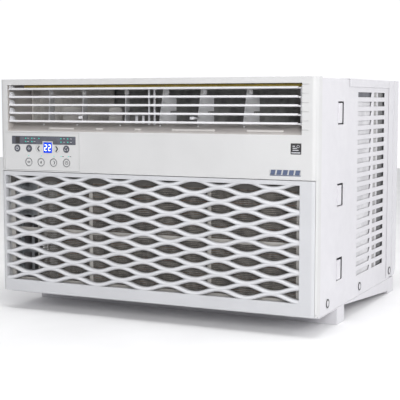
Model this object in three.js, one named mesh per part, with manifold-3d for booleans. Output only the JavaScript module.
// Window air conditioner: a front fascia with a wavy intake grille, a louvred air outlet and a
// keypad, on a sheet-steel cabinet that holds the coils, the compressor and a two-ended fan motor.
// Millimetres. +X is to the right of someone facing the front, -Y is the front, +Z is up.
// The origin is on the floor under the middle of the unit.
import * as THREE from 'three';
import { mergeVertices } from 'three/addons/utils/BufferGeometryUtils.js';
import Module from 'manifold-3d';

const wasm = await Module();
wasm.setup();

// ---------------------------------------------------------------- driving dimensions
const WIDTH = 600;            // over the front fascia
const DEPTH = 480;            // front face to the back of the rear frame
const FASCIA_HEIGHT = 380;
const FASCIA_DEPTH = 22;
const FASCIA_WALL = 3;
const CORNER_RADIUS = 10;     // upright front corners of the fascia
const FLOOR_TO_FASCIA = 34;   // feet to the bottom edge of the fascia
const FLOOR_TO_CABINET = 30;  // feet to the bottom edge of the cabinet wrapper
const CABINET_HALF = 297;     // half width over the cabinet wrapper
const CABINET_TOP = 412.3;
const SHEET = 1.2;            // steel sheet
const GAP = 0.3;              // clearance between touching pieces

const FRONT = -DEPTH / 2;
const REAR = DEPTH / 2;
const HALF = WIDTH / 2;
const FASCIA_BOTTOM = FLOOR_TO_FASCIA;
const FASCIA_TOP = FLOOR_TO_FASCIA + FASCIA_HEIGHT;
const CABINET_FRONT = FRONT + FASCIA_DEPTH + GAP;
const CABINET_REAR = REAR - 36;

// Air outlet in the fascia.
const OUTLET = { x0: -284, x1: 274, z0: FASCIA_BOTTOM + 288.5, z1: FASCIA_BOTTOM + 370 };

// Intake grille: lens-shaped holes in columns, every other column half a row lower.
const GRILLE_TOP = FASCIA_BOTTOM + 216.5;
const GRILLE_DEPTH = 10;
const GRILLE_HALF = HALF - FASCIA_WALL - GAP;
const MESH = { x0: -286.5, x1: 271.5, z0: FASCIA_BOTTOM + 21, z1: FASCIA_BOTTOM + 209.5 };
const COLUMN_PITCH = 46.5;
const ROW_PITCH = 24;
const FIRST_ROW = FASCIA_BOTTOM + 201.5;
const EYE_LENGTH = 54;
const EYE_HEIGHT = 14.5;

// Horizontal blades of the outlet.
const BLADE_COUNT = 5;
const BLADE_PITCH = 14.2;
const BLADE_TOP = FASCIA_BOTTOM + 362.4;
const BLADE_CHORD = 16;
const BLADE_THICKNESS = 3.2;
const BLADE_TILT = 8;          // front edges raised, degrees
const BLADE_AXIS_Y = FRONT + 10;

// Upright vanes behind the blades, in a left and a right group of three.
const VANE_X = [-218, -148, -62, 16, 87, 170];
const VANE_AXIS_Y = FRONT + 42;
const VANE_THICKNESS = 1.8;
const LEVER_Z = BLADE_TOP - 3.5 * BLADE_PITCH;

// Keypad in the fascia.
const PANEL = { x0: -290, x1: -134, z0: FASCIA_BOTTOM + 219.5, z1: FASCIA_BOTTOM + 286.5 };
const UPPER_KEY_RADIUS = 6.3;
const LOWER_KEY_RADIUS = 7.4;
const ARROW_RADIUS = 5.8;
const KEY_UPPER_Z = FASCIA_BOTTOM + 258;
const KEY_LOWER_Z = FASCIA_BOTTOM + 234;
const KEYS = [
  { name: 'button_power', x: -263.5, z: KEY_UPPER_Z },
  { name: 'button_mode', x: -238.5, z: KEY_UPPER_Z },
  { name: 'button_down', x: -218.2, z: KEY_UPPER_Z },
  { name: 'button_up', x: -180, z: KEY_UPPER_Z },
  { name: 'button_fan_speed', x: -160.5, z: KEY_UPPER_Z },
  { name: 'button_filter_reset', x: -239, z: KEY_LOWER_Z },
  { name: 'button_energy_saver', x: -213, z: KEY_LOWER_Z },
  { name: 'button_sleep', x: -187, z: KEY_LOWER_Z },
  { name: 'button_timer', x: -160, z: KEY_LOWER_Z },
];

// Fan shaft, along Y.
const SHAFT_X = -60;
const SHAFT_Z = 205;
const SHAFT_RADIUS = 6;
const BULKHEAD_Y = -80;

// ---------------------------------------------------------------- materials
const COLOURS = {
  white_plastic: { color: 0xe3e3e5, roughness: 0.5, metalness: 0 },
  grille_plastic: { color: 0xe8e8ec, roughness: 0.45, metalness: 0 },
  painted_steel: { color: 0xe6e5ea, roughness: 0.42, metalness: 0.1 },
  duct_plastic: { color: 0x8c8681, roughness: 0.7, metalness: 0 },
  dark_plastic: { color: 0x3c3d40, roughness: 0.6, metalness: 0 },
  key_grey: { color: 0x5c5e66, roughness: 0.5, metalness: 0 },
  display_lens: { color: 0x0a2fd0, roughness: 0.15, metalness: 0 },
  strip_lens: { color: 0x64666e, roughness: 0.25, metalness: 0 },
  foam: { color: 0x8c7a2e, roughness: 0.95, metalness: 0 },
  filter_net: { color: 0x5b5753, roughness: 0.9, metalness: 0 },
  coil_aluminium: { color: 0xb9bcc0, roughness: 0.4, metalness: 0.8 },
  copper: { color: 0xb87333, roughness: 0.35, metalness: 0.9 },
  black_steel: { color: 0x1c1d1f, roughness: 0.5, metalness: 0.3 },
  galvanised: { color: 0xb4b8bb, roughness: 0.45, metalness: 0.8 },
  circuit_board: { color: 0x1f5a3a, roughness: 0.6, metalness: 0 },
  badge_blue: { color: 0x5a6783, roughness: 0.4, metalness: 0.2 },
  label_dark: { color: 0x3a3536, roughness: 0.6, metalness: 0 },
};
const MATERIALS = Object.fromEntries(
  Object.entries(COLOURS).map(([name, look]) => [name, new THREE.MeshStandardMaterial(look)]),
);

// ---------------------------------------------------------------- solids
function solid(geometry) {
  const bare = geometry.index ? geometry.clone() : geometry;
  bare.deleteAttribute('normal');
  bare.deleteAttribute('uv');
  const merged = mergeVertices(bare, 1e-4);
  return new wasm.Manifold(new wasm.Mesh({
    numProp: 3,
    vertProperties: new Float32Array(merged.attributes.position.array),
    triVerts: new Uint32Array(merged.index.array),
  }));
}

function toGeometry(manifold) {
  const mesh = manifold.getMesh();
  const geometry = new THREE.BufferGeometry();
  geometry.setAttribute('position', new THREE.BufferAttribute(mesh.vertProperties, 3));
  geometry.setIndex(new THREE.BufferAttribute(mesh.triVerts, 1));
  geometry.computeVertexNormals();
  return geometry;
}

function block(x0, x1, y0, y1, z0, z1) {
  const box = new THREE.BoxGeometry(x1 - x0, y1 - y0, z1 - z0);
  box.translate((x0 + x1) / 2, (y0 + y1) / 2, (z0 + z1) / 2);
  return solid(box);
}

// A flat piece that fills a front area, less an inset all round.
function plate(area, inset, y0, y1) {
  return block(area.x0 + inset, area.x1 - inset, y0, y1, area.z0 + inset, area.z1 - inset);
}

// A round bar between two points.
function rod(from, to, radius, sides = 16, endRadius = radius) {
  const start = new THREE.Vector3(...from);
  const run = new THREE.Vector3(...to).sub(start);
  const bar = new THREE.CylinderGeometry(endRadius, radius, run.length(), sides);
  bar.translate(0, run.length() / 2, 0);
  const turn = new THREE.Quaternion().setFromUnitVectors(new THREE.Vector3(0, 1, 0), run.normalize());
  bar.applyQuaternion(turn);
  bar.translate(...from);
  return solid(bar);
}

function outline(points) {
  return new THREE.Shape(points.map(([a, b]) => new THREE.Vector2(a, b)));
}

// Plan outline in X and Y, raised from z0 to z1.
function raised(shape, z0, z1, curveSegments = 6) {
  const body = new THREE.ExtrudeGeometry(shape, { depth: z1 - z0, bevelEnabled: false, curveSegments });
  body.translate(0, 0, z0);
  return solid(body);
}

// Side outline in Y and Z, run along X from x0 to x1.
function alongX(points, x0, x1) {
  const body = new THREE.ExtrudeGeometry(outline(points), { depth: x1 - x0, bevelEnabled: false });
  body.applyMatrix4(new THREE.Matrix4().set(0, 0, 1, x0, 1, 0, 0, 0, 0, 1, 0, 0, 0, 0, 0, 1));
  return solid(body);
}

// Front outline in X and Z, run along Y from y0 to y1.
function alongY(points, y0, y1) {
  const body = new THREE.ExtrudeGeometry(outline(points), { depth: y1 - y0, bevelEnabled: false });
  body.rotateX(Math.PI / 2);
  body.translate(0, y1, 0);
  return solid(body);
}

function joined(first, ...rest) {
  return rest.reduce((whole, piece) => whole.add(piece), first);
}

function cut(first, ...tools) {
  return tools.reduce((whole, tool) => whole.subtract(tool), first);
}

const unit = new THREE.Group();

function addPart(name, shape, material, position = [0, 0, 0]) {
  const geometry = shape instanceof THREE.BufferGeometry ? shape : toGeometry(shape);
  const mesh = new THREE.Mesh(geometry, MATERIALS[material]);
  mesh.name = name;
  mesh.position.set(...position);
  unit.add(mesh);
}


// ---------------------------------------------------------------- front fascia
const LEDGE_FRONT = FRONT + 14;
const HINGE = { y: FRONT + 5, z: FASCIA_BOTTOM + 3.5 };
const HINGE_PIN = 1;
const BADGE = { x0: 221, x1: 273, z0: FASCIA_BOTTOM + 224, z1: FASCIA_BOTTOM + 233 };
const LABEL = { x0: 256, x1: 273.4, z0: FASCIA_BOTTOM + 258.3, z1: FASCIA_BOTTOM + 275.3 };
const SHELF_Z = GRILLE_TOP + 1;
const INNER_HALF = HALF - FASCIA_WALL;

function planOutline(half, depth) {
  const shape = new THREE.Shape();
  const centreY = FRONT + CORNER_RADIUS;
  shape.moveTo(-half, FRONT + depth);
  shape.lineTo(-half, centreY);
  shape.absarc(-half + CORNER_RADIUS, centreY, CORNER_RADIUS, Math.PI, 1.5 * Math.PI);
  shape.absarc(half - CORNER_RADIUS, centreY, CORNER_RADIUS, 1.5 * Math.PI, 2 * Math.PI);
  shape.lineTo(half, FRONT + depth);
  return shape;
}

function frontBezel() {
  const shell = raised(planOutline(HALF, FASCIA_DEPTH), FASCIA_BOTTOM, FASCIA_TOP);
  const behindFascia = FRONT + FASCIA_WALL;
  const upperHollow = block(-INNER_HALF, INNER_HALF, behindFascia, 0,
    SHELF_Z + FASCIA_WALL, FASCIA_TOP - FASCIA_WALL);
  const lowerHollow = block(-INNER_HALF, INNER_HALF, LEDGE_FRONT + FASCIA_WALL, 0,
    FASCIA_BOTTOM + FASCIA_WALL, SHELF_Z);
  const grillePocket = block(-INNER_HALF, INNER_HALF, FRONT - 1, LEDGE_FRONT, FASCIA_BOTTOM - 1, SHELF_Z);
  const airWay = block(-278, 264, FRONT, 0, FASCIA_BOTTOM + 22, FASCIA_BOTTOM + 204);
  const outlet = block(OUTLET.x0, OUTLET.x1, FRONT - 1, 0, OUTLET.z0, OUTLET.z1);
  const panelWindow = block(PANEL.x0, PANEL.x1, FRONT - 1, behindFascia + 1, PANEL.z0, PANEL.z1);
  const filterLip = block(-250, 236, FRONT + 10.8, LEDGE_FRONT, FASCIA_BOTTOM + 11, FASCIA_BOTTOM + 15.7);
  const pockets = [plate(BADGE, -GAP, FRONT - 1, FRONT + 1.2), plate(LABEL, -GAP, FRONT - 1, FRONT + 0.8)];
  const hingeBores = hingePins(INNER_HALF - 1, HALF + 1, HINGE_PIN + GAP);
  const body = cut(shell, upperHollow, lowerHollow, grillePocket, airWay, outlet, panelWindow,
    ...grooves(), ...pockets, ...hingeBores);
  return joined(body, filterLip);
}

// Round pieces on the grille's hinge line, at both ends.
function hingePins(x0, x1, radius) {
  return [-1, 1].map((side) => rod(
    [side * x0, HINGE.y, HINGE.z], [side * x1, HINGE.y, HINGE.z], radius, 8));
}

// Short grooves on the right border, one beside each gap between the blades.
function grooves() {
  const tools = [];
  for (let i = 0; i <= BLADE_COUNT; i += 1) {
    const z = BLADE_TOP + 5 - i * BLADE_PITCH;
    tools.push(block(OUTLET.x1 - 1, OUTLET.x1 + 11, FRONT - 1, FRONT + 0.9, z - 0.7, z + 0.7));
  }
  return tools;
}

// ---------------------------------------------------------------- intake grille and filter
// One lens-shaped hole: two tips joined by shallow bows.
function eyeOutline(x, z) {
  const half = EYE_LENGTH / 2;
  const rise = EYE_HEIGHT / 2;
  const along = [-1, -0.42, 0.42, 1];
  const bow = (t) => rise * 1.06 * Math.cos((t * Math.PI) / 2);
  const upper = along.map((t) => [x + t * half, z + bow(t)]);
  const lower = along.slice(1, -1).reverse().map((t) => [x + t * half, z - bow(t)]);
  return [...upper, ...lower].reverse();
}

function intakeGrille() {
  const plan = raised(planOutline(HALF, GRILLE_DEPTH), FASCIA_BOTTOM + GAP, GRILLE_TOP);
  const sideCut = block(-GRILLE_HALF, GRILLE_HALF, FRONT - 1, 0, 0, FASCIA_TOP);
  const window = block(MESH.x0, MESH.x1, FRONT - 1, 0, MESH.z0, MESH.z1);
  const columns = Math.round((MESH.x1 - MESH.x0) / COLUMN_PITCH);
  let eyes = null;
  for (let column = 0; column <= columns; column += 1) {
    const lowered = column % 2 === 1;
    const rows = lowered ? 9 : 8;
    const top = FIRST_ROW + (lowered ? ROW_PITCH / 2 : 0);
    for (let row = 0; row < rows; row += 1) {
      const outlinePoints = eyeOutline(MESH.x0 + column * COLUMN_PITCH, top - row * ROW_PITCH);
      const eye = alongY(outlinePoints, FRONT - 1, FRONT + GRILLE_DEPTH + 1);
      eyes = eyes ? eyes.add(eye) : eye;
    }
  }
  const panel = plan.intersect(sideCut).subtract(eyes.intersect(window));
  return joined(panel, ...hingePins(GRILLE_HALF - 2, INNER_HALF + 1.2, HINGE_PIN));
}

const FILTER = {
  x0: -286, x1: 272, y0: FRONT + 10.7, y1: FRONT + 13.7,
  z0: FASCIA_BOTTOM + 16, z1: FASCIA_BOTTOM + 209,
};
const FILTER_RIM = 9;
const FILTER_BAR = 7;

function filterFrame() {
  const whole = block(FILTER.x0, FILTER.x1, FILTER.y0, FILTER.y1, FILTER.z0, FILTER.z1);
  const inside = block(FILTER.x0 + FILTER_RIM, FILTER.x1 - FILTER_RIM, FRONT, 0,
    FILTER.z0 + FILTER_RIM, FILTER.z1 - FILTER_RIM);
  const middle = (FILTER.z0 + FILTER.z1) / 2;
  const barY = FILTER.y0 + 1.4;
  const halfBar = FILTER_BAR / 2;
  const across = block(FILTER.x0 + 1, FILTER.x1 - 1, FILTER.y0, barY, middle - halfBar, middle + halfBar);
  const uprights = [-118, 110].map((x) => block(
    x - halfBar, x + halfBar, FILTER.y0, barY, FILTER.z0 + 1, FILTER.z1 - 1));
  return joined(cut(whole, inside), across, ...uprights);
}

function filterNet() {
  const edge = FILTER_RIM + GAP;
  return block(FILTER.x0 + edge, FILTER.x1 - edge, FILTER.y0 + 1.7, FILTER.y1 - 0.4,
    FILTER.z0 + edge, FILTER.z1 - edge);
}

// ---------------------------------------------------------------- air outlet
const DUCT_WALL = 3;
const DUCT_REAR = FRONT + 75;
const DUCT_FLOOR = FASCIA_BOTTOM + 302.5;
const PIVOT_RADIUS = 1.5;
const LINK_OFFSET = 5;
const BLADE_X0 = OUTLET.x0 + 2.5;
const BLADE_X1 = OUTLET.x1 - 8;
const VANE_PIN_RADIUS = 1.2;
const VANE_LINK_OFFSET = 13.5;
const VANE_LINK_Z = FASCIA_BOTTOM + 320;
const VANE_SHOULDER = FASCIA_BOTTOM + 350;
const VANE_TURNS = [20, -14];   // rest angles of the left and right vane groups, degrees

function bladeHeights() {
  return Array.from({ length: BLADE_COUNT }, (_, i) => BLADE_TOP - i * BLADE_PITCH);
}

function outletDuct() {
  const front = FRONT + FASCIA_WALL + GAP;
  const rise = FRONT + 28;
  const outer = alongX([
    [front, OUTLET.z0 - DUCT_WALL], [rise, DUCT_FLOOR - DUCT_WALL], [DUCT_REAR, DUCT_FLOOR - DUCT_WALL],
    [DUCT_REAR, OUTLET.z1 + DUCT_WALL], [front, OUTLET.z1 + DUCT_WALL],
  ], OUTLET.x0 - DUCT_WALL, OUTLET.x1 + DUCT_WALL);
  const inner = alongX([
    [FRONT, OUTLET.z0], [front, OUTLET.z0], [rise, DUCT_FLOOR], [DUCT_REAR + 1, DUCT_FLOOR],
    [DUCT_REAR + 1, OUTLET.z1], [FRONT, OUTLET.z1],
  ], OUTLET.x0, OUTLET.x1);
  const bladeBores = bladeHeights().map((z) => rod(
    [OUTLET.x0 - 9, BLADE_AXIS_Y, z], [OUTLET.x1 + 9, BLADE_AXIS_Y, z], PIVOT_RADIUS + GAP, 8));
  const vaneBores = VANE_X.map((x) => rod(
    [x, VANE_AXIS_Y, DUCT_FLOOR - 9], [x, VANE_AXIS_Y, OUTLET.z1 + 9], VANE_PIN_RADIUS + GAP, 8));
  return cut(outer, inner, ...bladeBores, ...vaneBores);
}

// One blade with its axle along X, about its own axis.
function louverBlade() {
  const chord = BLADE_CHORD / 2;
  const thick = BLADE_THICKNESS / 2;
  const section = [
    [-chord, 0], [-chord + 0.8, -thick], [chord - 5, -thick * 0.8], [chord, -0.4],
    [chord, 0.4], [chord - 5, thick * 0.8], [-chord + 0.8, thick],
  ];
  const plate = alongX(section, BLADE_X0, BLADE_X1).rotate([-BLADE_TILT, 0, 0]);
  const axleLeft = rod([OUTLET.x0 - 2, 0, 0], [BLADE_X0 + 3, 0, 0], PIVOT_RADIUS, 8);
  const axleRight = rod([BLADE_X1 - 3, 0, 0], [OUTLET.x1 + 2, 0, 0], PIVOT_RADIUS, 8);
  const linkPin = rod([BLADE_X1 - 2, LINK_OFFSET, 0], [BLADE_X1 + 4.5, LINK_OFFSET, 0], 0.8, 8);
  return joined(plate, axleLeft, axleRight, linkPin);
}

// Upright bar that ties the right ends of the five blades together.
function louverLink() {
  const y = BLADE_AXIS_Y + LINK_OFFSET;
  const heights = bladeHeights();
  const bar = block(BLADE_X1 + 1, BLADE_X1 + 3.5, y - 1.6, y + 1.6, heights.at(-1) - 3, heights[0] + 3);
  const bores = heights.map((z) => rod([BLADE_X1, y, z], [BLADE_X1 + 5, y, z], 0.8 + GAP, 8));
  return cut(bar, ...bores);
}

// Ladder behind the blades that keeps them apart at mid-span.
function louverSupport() {
  const [left, right] = [-8.5, 4.5];
  const [y0, y1] = [FRONT + 20, FRONT + 23];
  const bottom = DUCT_FLOOR - 1;
  const top = BLADE_TOP + 1;
  const posts = [left, right - 2.5].map((x) => block(x, x + 2.5, y0, y1, bottom, top));
  const rungs = bladeHeights().map((z) => block(left + 1, right - 1, y0, y1 - 1, z - 1, z + 1));
  return joined(...posts, ...rungs);
}

// One upright vane about its own axis; the group's thumb lever is on the middle vane.
function vane(hasLever) {
  const floor = DUCT_FLOOR + 0.7;
  const ceiling = OUTLET.z1 - 0.7;
  const half = VANE_THICKNESS / 2;
  const outline = [
    [-20, floor], [24, floor], [24, VANE_SHOULDER], [3, VANE_SHOULDER + 2], [3, ceiling], [-7, ceiling],
  ];
  const linkSlot = block(-2, 2, 8, 25, VANE_LINK_Z - GAP, VANE_LINK_Z + 4.5);
  const plate = cut(alongX(outline, -half, half), linkSlot);
  const pin = rod([0, 0, floor - 2.5], [0, 0, ceiling + 2.5], VANE_PIN_RADIUS, 8);
  const ear = block(-half, half, 4, VANE_LINK_OFFSET + 1.5, VANE_LINK_Z - 3, VANE_LINK_Z - GAP);
  const peg = rod([0, VANE_LINK_OFFSET, VANE_LINK_Z - 2], [0, VANE_LINK_OFFSET, VANE_LINK_Z + 2.6], 0.8, 8);
  const whole = joined(plate, pin, ear, peg);
  if (!hasLever) return whole;
  const stem = block(-1.2, 1.2, -34, -15, LEVER_Z - 1, LEVER_Z + 1);
  const pad = block(-3.5, 3.5, -35, -31, LEVER_Z - 1.5, LEVER_Z + 3);
  return joined(whole, stem, pad);
}

function vaneLink(axes, turn) {
  const angle = THREE.MathUtils.degToRad(turn);
  const y = VANE_AXIS_Y + VANE_LINK_OFFSET * Math.cos(angle);
  const positions = axes.map((x) => x - VANE_LINK_OFFSET * Math.sin(angle));
  const bar = block(positions[0] - 3, positions.at(-1) + 3, y - 2, y + 2, VANE_LINK_Z, VANE_LINK_Z + 2);
  const bores = positions.map((x) => rod([x, y, VANE_LINK_Z - 1], [x, y, VANE_LINK_Z + 3], 0.8 + GAP, 8));
  return cut(bar, ...bores);
}

function foamSeal() {
  return block(-260, OUTLET.x1 - GAP, FRONT + 19.6, FRONT + 26, BLADE_TOP + 1.6, OUTLET.z1 - GAP);
}

// ---------------------------------------------------------------- keypad
const STRIP = { x0: -275, x1: -141, z0: FASCIA_BOTTOM + 265.5, z1: FASCIA_BOTTOM + 280 };
const DISPLAY = { x0: -208, x1: -190, z0: FASCIA_BOTTOM + 250.5, z1: FASCIA_BOTTOM + 269.5 };

function keyRadius(key) {
  if (key.name === 'button_up' || key.name === 'button_down') return ARROW_RADIUS;
  return key.z === KEY_UPPER_Z ? UPPER_KEY_RADIUS : LOWER_KEY_RADIUS;
}

function displayStrip(inset, y0, y1) {
  return cut(plate(STRIP, inset, y0, y1), plate(DISPLAY, -1.6 - inset, y0 - 1, y1 + 1));
}

function controlPanel() {
  const y1 = FRONT + FASCIA_WALL;
  const sheet = plate(PANEL, GAP, FRONT, y1);
  const windows = [displayStrip(0, FRONT - 1, y1 + 1), plate(DISPLAY, 0, FRONT - 1, y1 + 1)];
  const bores = KEYS.map((key) => rod(
    [key.x, FRONT - 1, key.z], [key.x, y1 + 1, key.z], keyRadius(key) + GAP, 16));
  return cut(sheet, ...windows, ...bores);
}

function keyCap(radius) {
  return rod([0, 0, 0], [0, FASCIA_WALL, 0], radius, 16);
}

// ---------------------------------------------------------------- cabinet
const SLOT_ROWS = 20;
const SLOT_PITCH = 16.55;
const SLOT_TOP = FASCIA_BOTTOM + 357;
const SLOT_HEIGHT = 8.6;
const SLOT_COLUMNS = [{ y0: -17, y1: 67, slant: 5 }, { y0: 80, y1: 153, slant: 0 }];
const HOOK_TOPS = [341, 205, 80].map((z) => FASCIA_BOTTOM + z);
const HOOK = { y0: -128, y1: -97, height: 38, width: 15, out: 2.4 };
const SCREW_Z = FASCIA_BOTTOM + 12;
const SCREWS = [
  { name: 'front', y: -173, seat: CABINET_HALF + GAP },
  { name: 'middle', y: 5, seat: CABINET_HALF + GAP },
  { name: 'rear', y: 198, seat: CABINET_HALF + 1.9 },
];
const SCREW_SHANK = 1.7;
const SCREW_HEAD = 6;
const COVER_FRONT = -68;          // front edge of the cover sheet over the rear of the cabinet

function sideSlots() {
  const tools = [];
  for (const { y0, y1, slant } of SLOT_COLUMNS) {
    for (let row = 0; row < SLOT_ROWS; row += 1) {
      const top = SLOT_TOP - row * SLOT_PITCH;
      const bottom = top - SLOT_HEIGHT;
      const points = [[y0, bottom], [y1 - slant, bottom], [y1, top], [y0, top]];
      tools.push(alongX(points, -HALF, HALF));
    }
  }
  return tools;
}

// A strap lanced from the side wall: held along its front edge, open behind.
function hookStrap(side, top) {
  const wall = side * CABINET_HALF;
  const proud = side * (CABINET_HALF + HOOK.out);
  const span = (a, b) => [Math.min(a, b), Math.max(a, b)];
  const [x0, x1] = span(proud, proud - side * SHEET);
  const [r0, r1] = span(proud, wall - side * SHEET);
  const bottom = top - HOOK.height + 2.5;
  const strap = block(x0, x1, HOOK.y0 - 1.2, HOOK.y0 + HOOK.width, bottom, top - 2.5);
  const root = block(r0, r1, HOOK.y0 - 1.2, HOOK.y0 + 0.1, bottom, top - 2.5);
  return strap.add(root);
}

function screwBores() {
  return SCREWS.map(({ y }) => rod([-HALF - 5, y, SCREW_Z], [HALF + 5, y, SCREW_Z], SCREW_SHANK + GAP, 8));
}

function cabinetWrapper() {
  const outer = block(-CABINET_HALF, CABINET_HALF, CABINET_FRONT, CABINET_REAR,
    FLOOR_TO_CABINET, CABINET_TOP);
  const inner = block(-CABINET_HALF + SHEET, CABINET_HALF - SHEET, FRONT, REAR, 0, CABINET_TOP - SHEET);
  const lances = HOOK_TOPS.map((top) => block(-HALF, HALF, HOOK.y0, HOOK.y1, top - HOOK.height, top));
  const coverSeat = block(-HALF, HALF, COVER_FRONT - GAP, REAR, CABINET_TOP - GAP, CABINET_TOP + 1);
  const body = cut(outer, inner, coverSeat, ...sideSlots(), ...lances, ...screwBores());
  const straps = HOOK_TOPS.flatMap((top) => [hookStrap(-1, top), hookStrap(1, top)]);
  return joined(body, ...straps);
}

// Cover sheet over the rear of the cabinet, turned down over both sides.
function rearTopPanel() {
  const y1 = CABINET_REAR - 25;
  const outside = CABINET_HALF + GAP + SHEET;
  const bottom = FASCIA_BOTTOM + 366;
  const outer = block(-outside, outside, COVER_FRONT, y1, bottom, CABINET_TOP + GAP + SHEET);
  const inner = block(-outside + SHEET, outside - SHEET, COVER_FRONT - 1, y1 + 1, 0, CABINET_TOP + GAP);
  return cut(outer, inner);
}

const FLANGE_RISE = 0.2;           // step from the cover sheet up to the rear frame's top
// Stepped frame round the back of the cabinet, open over the condenser.
function rearFrame() {
  const stepY = REAR - 28;
  const startY = CABINET_REAR - 24;
  const narrow = CABINET_HALF + GAP + SHEET;
  const bandTop = CABINET_TOP + GAP + SHEET;
  const bottom = FASCIA_BOTTOM;
  const outer = block(-narrow, narrow, startY, stepY + 1, bottom, bandTop)
    .add(block(-HALF, HALF, stepY, REAR, bottom, bandTop + FLANGE_RISE));
  const innerNarrow = block(-narrow + SHEET, narrow - SHEET, startY - 1, stepY + SHEET, 0, bandTop - SHEET);
  const innerWide = block(-HALF + SHEET, HALF - SHEET, stepY + SHEET, REAR - SHEET, 0, bandTop + FLANGE_RISE - SHEET);
  const backWindow = block(-262, 262, stepY, REAR + 1, 68, 388);
  const clipped = [[REAR - 12, bottom - 1], [REAR + 1, bottom - 1], [REAR + 1, bottom + 12]];
  const corner = alongX(clipped, -HALF - 1, HALF + 1);
  return cut(outer, innerNarrow, innerWide, backWindow, corner, ...screwBores());
}

const PAN_WALL = 2;
const PAN_FRONT = CABINET_FRONT + 2;
const PAN_REAR = REAR - 28 - GAP;   // back of the tray, inside the rear frame
const SKIRT_REAR = REAR - 5;
const PAN_SLOPE_START = -82;
const PAN_LOWEST = 2;
const PAN_LIP = 60;
const RAILS = [{ y0: -121, y1: -82 }, { y0: 196, y1: SKIRT_REAR }];

// Tray whose floor falls to the rear, on two cross rails.
function basePan() {
  const skirtHalf = CABINET_HALF;
  const lipHalf = CABINET_HALF - SHEET - GAP;
  const seam = FLOOR_TO_CABINET - GAP;
  const skirt = alongX([
    [PAN_FRONT, FLOOR_TO_CABINET - 2], [PAN_SLOPE_START, FLOOR_TO_CABINET - 2], [SKIRT_REAR, PAN_LOWEST],
    [SKIRT_REAR, seam], [PAN_FRONT, seam],
  ], -skirtHalf, skirtHalf);
  const lip = block(-lipHalf, lipHalf, PAN_FRONT, PAN_REAR, seam - 1, PAN_LIP);
  const rails = RAILS.map(({ y0, y1 }) => block(-skirtHalf, skirtHalf, y0, y1, 0, seam));
  const inside = alongX([
    [PAN_FRONT + PAN_WALL, FLOOR_TO_CABINET], [PAN_SLOPE_START, FLOOR_TO_CABINET],
    [PAN_REAR - PAN_WALL, PAN_LOWEST + PAN_WALL],
    [PAN_REAR - PAN_WALL, PAN_LIP + 1], [PAN_FRONT + PAN_WALL, PAN_LIP + 1],
  ], -lipHalf + PAN_WALL, lipHalf - PAN_WALL);
  return cut(joined(skirt, lip, ...rails), inside, ...screwBores());
}

function cabinetScrew(side, { y, seat }) {
  const head = rod([side * seat, y, SCREW_Z], [side * (seat + 1.1), y, SCREW_Z], SCREW_HEAD, 16, 4);
  const tip = side * (CABINET_HALF - 6);
  const shank = rod([tip, y, SCREW_Z], [side * (seat + 0.5), y, SCREW_Z], SCREW_SHANK, 8);
  return head.add(shank);
}

// ---------------------------------------------------------------- air handling inside
function ring(outerRadius, innerRadius, y0, y1, sides) {
  const disc = rod([SHAFT_X, y0, SHAFT_Z], [SHAFT_X, y1, SHAFT_Z], outerRadius, sides);
  return cut(disc, rod([SHAFT_X, y0 - 1, SHAFT_Z], [SHAFT_X, y1 + 1, SHAFT_Z], innerRadius, sides));
}

// Flat blades evenly round the shaft: each is leaned, set at its radius and turned to its place.
function bladeRing({ size, lean, axis, radius, y, count }) {
  return Array.from({ length: count }, (_, i) => {
    const box = new THREE.BoxGeometry(...size);
    box.applyQuaternion(new THREE.Quaternion().setFromAxisAngle(axis, lean));
    box.translate(0, 0, radius);
    box.rotateY((i * 2 * Math.PI) / count);
    box.translate(SHAFT_X, y, SHAFT_Z);
    return solid(box);
  });
}

const WHEEL = { radius: 90, inner: 72, y0: -152, y1: -91, blades: 24 };

function blowerWheel() {
  const backDisc = ring(WHEEL.radius, SHAFT_RADIUS + GAP, WHEEL.y1 - 2, WHEEL.y1, 32);
  const hub = ring(14, SHAFT_RADIUS + GAP, WHEEL.y1 - 20, WHEEL.y1 - 1, 12);
  const rim = ring(WHEEL.radius, WHEEL.inner, WHEEL.y0, WHEEL.y0 + 2.5, 32);
  const blades = bladeRing({
    size: [1.4, WHEEL.y1 - WHEEL.y0 - 2, 17], lean: 0.55, axis: new THREE.Vector3(0, 1, 0),
    radius: (WHEEL.radius + WHEEL.inner) / 2 - 1, y: (WHEEL.y0 + WHEEL.y1) / 2, count: WHEEL.blades,
  });
  return joined(backDisc, hub, rim, ...blades);
}

const FAN = { radius: 150, y: 112, blades: 5 };

function condenserFan() {
  const hub = ring(28, SHAFT_RADIUS + GAP, FAN.y - 14, FAN.y + 14, 16);
  const slinger = ring(FAN.radius, FAN.radius - 3, FAN.y - 5, FAN.y + 5, 40);
  const length = FAN.radius - 26;
  const blades = bladeRing({
    size: [66, 2, length], lean: 0.42, axis: new THREE.Vector3(0, 0, 1),
    radius: 24.5 + length / 2, y: FAN.y, count: FAN.blades,
  });
  return joined(hub, slinger, ...blades);
}

function motorShaft() {
  return rod([SHAFT_X, WHEEL.y1 - 17, SHAFT_Z], [SHAFT_X, FAN.y + 20, SHAFT_Z], SHAFT_RADIUS, 12);
}

function fanMotor() {
  const [y0, y1] = [BULKHEAD_Y + SHEET + GAP, 2];
  const can = rod([SHAFT_X, y0 + 8, SHAFT_Z], [SHAFT_X, y1 - 6, SHAFT_Z], 48, 24);
  const ends = rod([SHAFT_X, y0, SHAFT_Z], [SHAFT_X, y1, SHAFT_Z], 30, 16);
  const feet = [-1, 1].map((side) => block(
    SHAFT_X + side * 52 - 12, SHAFT_X + side * 52 + 12, y0, y0 + 14, SHAFT_Z - 12, SHAFT_Z + 12));
  const bore = rod([SHAFT_X, y0 - 1, SHAFT_Z], [SHAFT_X, y1 + 1, SHAFT_Z], SHAFT_RADIUS + 0.4, 12);
  return cut(joined(can, ends, ...feet), bore);
}

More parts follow.
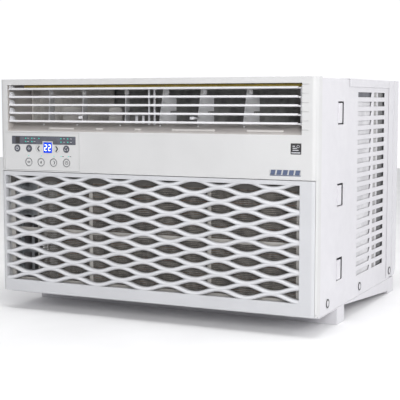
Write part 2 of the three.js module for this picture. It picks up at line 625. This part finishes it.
const SCROLL_BACK = BULKHEAD_Y - GAP;
const PLENUM_Z = 316;
const PIPE_HOLE = { x: 262, z: 250, radius: 9 };

function blowerScroll() {
  const front = DUCT_REAR + GAP;
  const casing = block(SHAFT_X - 115, SHAFT_X + 115, front, SCROLL_BACK, 95, PLENUM_Z + 1);
  const plenum = block(OUTLET.x0 - DUCT_WALL, OUTLET.x1 + DUCT_WALL, front, SCROLL_BACK,
    PLENUM_Z, OUTLET.z1 + DUCT_WALL);
  const volute = rod([SHAFT_X, front + DUCT_WALL, SHAFT_Z], [SHAFT_X, 0, SHAFT_Z], 104, 32);
  const throat = block(SHAFT_X - 104, SHAFT_X + 104, front + DUCT_WALL, 0, SHAFT_Z, PLENUM_Z + DUCT_WALL + 1);
  const plenumInside = block(OUTLET.x0, OUTLET.x1, front + DUCT_WALL, 0, PLENUM_Z + DUCT_WALL, OUTLET.z1);
  const mouth = block(OUTLET.x0, OUTLET.x1, front - 1, 0, DUCT_FLOOR, OUTLET.z1);
  const eye = rod([SHAFT_X, FRONT, SHAFT_Z], [SHAFT_X, 0, SHAFT_Z], 74, 32);
  return cut(joined(casing, plenum), volute, throat, plenumInside, mouth, eye);
}

function bulkhead() {
  const [bottom, top] = [FLOOR_TO_CABINET + 3, CABINET_TOP - SHEET - 1];
  const sheet = block(-292, 292, BULKHEAD_Y, BULKHEAD_Y + SHEET, bottom, top);
  const shaftHole = rod([SHAFT_X, -90, SHAFT_Z], [SHAFT_X, 0, SHAFT_Z], 12, 16);
  const { x, z, radius } = PIPE_HOLE;
  return cut(sheet, shaftHole, rod([x, -90, z], [x, 0, z], radius, 12));
}

// Plate with a round mouth for the rear fan, and wings along both sides behind the slots.
function fanShroud() {
  const y = FAN.y - 28;
  const [half, top, bottom] = [291, CABINET_TOP - 4, FLOOR_TO_CABINET + 4];
  const sheet = block(-half, half, y, y + 2, bottom, top);
  const wingTop = SLOT_TOP - SLOT_HEIGHT - 1;
  const wings = [-half, half - 2].map((x) => block(x, x + 2, -26, y + 46, bottom + 30, wingTop));
  const mouth = rod([SHAFT_X, y - 1, SHAFT_Z], [SHAFT_X, y + 3, SHAFT_Z], FAN.radius + 6, 32);
  return cut(joined(sheet, ...wings), mouth);
}

// ---------------------------------------------------------------- refrigeration
function coil(x0, x1, y0, y1, z0, z1) {
  const core = block(x0 + 2, x1 - 2, y0 + 2, y1 - 2, z0 + 2, z1 - 2);
  const sheets = [x0, x1 - 3].map((x) => block(x, x + 3, y0, y1, z0, z1));
  return joined(core, ...sheets);
}

const COMPRESSOR = { x: 180, y: 5, radius: 58, z0: 31, height: 232 };

function compressor() {
  const { radius, height, x, y, z0 } = COMPRESSOR;
  const profile = [
    [0, 0], [radius * 0.8, 0], [radius * 0.97, 8], [radius, 22], [radius, height * 0.52],
    [radius * 1.04, height * 0.53], [radius * 1.04, height * 0.55], [radius, height * 0.56],
    [radius, height - 40], [radius * 0.9, height - 18], [radius * 0.55, height - 4], [0, height],
  ].map(([r, h]) => new THREE.Vector2(r, h));
  const can = new THREE.LatheGeometry(profile, 24);
  can.rotateX(Math.PI / 2);
  can.translate(x, y, z0);
  const foot = block(x - 70, x + 70, y - 30, y + 30, z0, z0 + 4);
  return solid(can).add(foot);
}

function accumulator() {
  const { x, y, radius } = COMPRESSOR;
  const centre = x + radius + 26;
  return rod([centre, y + 12, 110], [centre, y + 12, 225], 20, 16);
}

// Bent pipe through a list of points.
function pipe(points, radius) {
  const path = new THREE.CatmullRomCurve3(points.map((p) => new THREE.Vector3(...p)), false, 'centripetal');
  const section = new THREE.Shape();
  section.absarc(0, 0, radius, 0, 2 * Math.PI);
  const body = new THREE.ExtrudeGeometry(section, {
    steps: 28, extrudePath: path, bevelEnabled: false, curveSegments: 4,
  });
  return solid(body);
}

function suctionPipe() {
  const { x, y, radius } = COMPRESSOR;
  const start = x + radius + 26;
  return pipe([
    [start, y + 12, 225 + GAP], [start, y + 12, 240], [start - 2, y - 20, PIPE_HOLE.z],
    [PIPE_HOLE.x, -60, PIPE_HOLE.z], [PIPE_HOLE.x, -120, PIPE_HOLE.z], [PIPE_HOLE.x, -163, PIPE_HOLE.z],
  ], 4.5);
}

function dischargePipe() {
  const { x, y, z0, height } = COMPRESSOR;
  const top = z0 + height;
  return pipe([
    [x, y, top + GAP], [x, y, top + 30], [x + 20, y + 20, top + 60], [x + 60, y + 45, top + 60],
    [x + 90, y + 60, top + 40], [x + 92, y + 70, top + 10],
  ], 3.5);
}

function cordGland() {
  const z = FASCIA_BOTTOM + 24;
  const y = CABINET_FRONT + 30;
  const flange = rod([-CABINET_HALF - GAP, y, z], [-CABINET_HALF - 2.6, y, z], 12, 16);
  const bore = rod([-HALF - 5, y, z], [-CABINET_HALF + 10, y, z], 5, 12);
  return cut(flange, bore);
}

// ---------------------------------------------------------------- assembly
addPart('base_pan', basePan(), 'painted_steel');
addPart('cabinet_wrapper', cabinetWrapper(), 'painted_steel');
addPart('rear_top_panel', rearTopPanel(), 'painted_steel');
addPart('rear_frame', rearFrame(), 'painted_steel');
for (const [label, side] of [['left', -1], ['right', 1]]) {
  for (const screw of SCREWS) {
    addPart(`cabinet_screw_${label}_${screw.name}`, cabinetScrew(side, screw), 'galvanised');
  }
}
addPart('cord_gland', cordGland(), 'dark_plastic');

addPart('front_bezel', frontBezel(), 'white_plastic');
addPart('badge', plate(BADGE, 0, FRONT, FRONT + 0.9), 'badge_blue');
addPart('info_label', plate(LABEL, 0, FRONT, FRONT + 0.5), 'label_dark');
addPart('intake_grille', intakeGrille(), 'grille_plastic');
addPart('filter_frame', filterFrame(), 'key_grey');
addPart('filter_net', filterNet(), 'filter_net');

addPart('outlet_duct', outletDuct(), 'duct_plastic');
const blade = louverBlade();
bladeHeights().forEach((z, i) => {
  addPart(`louver_blade_${i + 1}`, blade, 'grille_plastic', [0, BLADE_AXIS_Y, z]);
});
addPart('louver_link', louverLink(), 'grille_plastic');
addPart('louver_support', louverSupport(), 'grille_plastic');
const plainVane = vane(false);
const leverVane = vane(true);
VANE_X.forEach((x, i) => {
  const shape = i % 3 === 1 ? leverVane : plainVane;
  const turn = VANE_TURNS[Math.floor(i / 3)];
  addPart(`vane_${i + 1}`, shape.rotate([0, 0, turn]), 'grille_plastic', [x, VANE_AXIS_Y, 0]);
});
addPart('vane_link_left', vaneLink(VANE_X.slice(0, 3), VANE_TURNS[0]), 'dark_plastic');
addPart('vane_link_right', vaneLink(VANE_X.slice(3), VANE_TURNS[1]), 'dark_plastic');
addPart('foam_seal', foamSeal(), 'foam');

addPart('control_panel', controlPanel(), 'white_plastic');
addPart('display_strip', displayStrip(GAP, FRONT, FRONT + 2), 'strip_lens');
addPart('display_window', plate(DISPLAY, GAP, FRONT, FRONT + 2), 'display_lens');
for (const key of KEYS) {
  const finish = key.z === KEY_UPPER_Z ? 'key_grey' : 'white_plastic';
  addPart(key.name, keyCap(keyRadius(key)), finish, [key.x, FRONT, key.z]);
}
addPart('control_board', block(-282, -140, FRONT + 8, FRONT + 9.6, FASCIA_BOTTOM + 222, FASCIA_BOTTOM + 284),
  'circuit_board');

addPart('evaporator_coil', coil(-225, 285, -200, DUCT_REAR - 3, 42, 300), 'coil_aluminium');
addPart('blower_scroll', blowerScroll(), 'dark_plastic');
addPart('blower_wheel', blowerWheel(), 'dark_plastic');
addPart('bulkhead', bulkhead(), 'galvanised');
addPart('fan_motor', fanMotor(), 'black_steel');
addPart('motor_shaft', motorShaft(), 'galvanised');
addPart('condenser_fan', condenserFan(), 'dark_plastic');
addPart('fan_shroud', fanShroud(), 'galvanised');
addPart('condenser_coil', coil(-272, 272, 146, 192, 40, 400), 'coil_aluminium');
addPart('compressor', compressor(), 'black_steel');
addPart('accumulator', accumulator(), 'black_steel');
addPart('suction_pipe', suctionPipe(), 'copper');
addPart('discharge_pipe', dischargePipe(), 'copper');

export default unit;
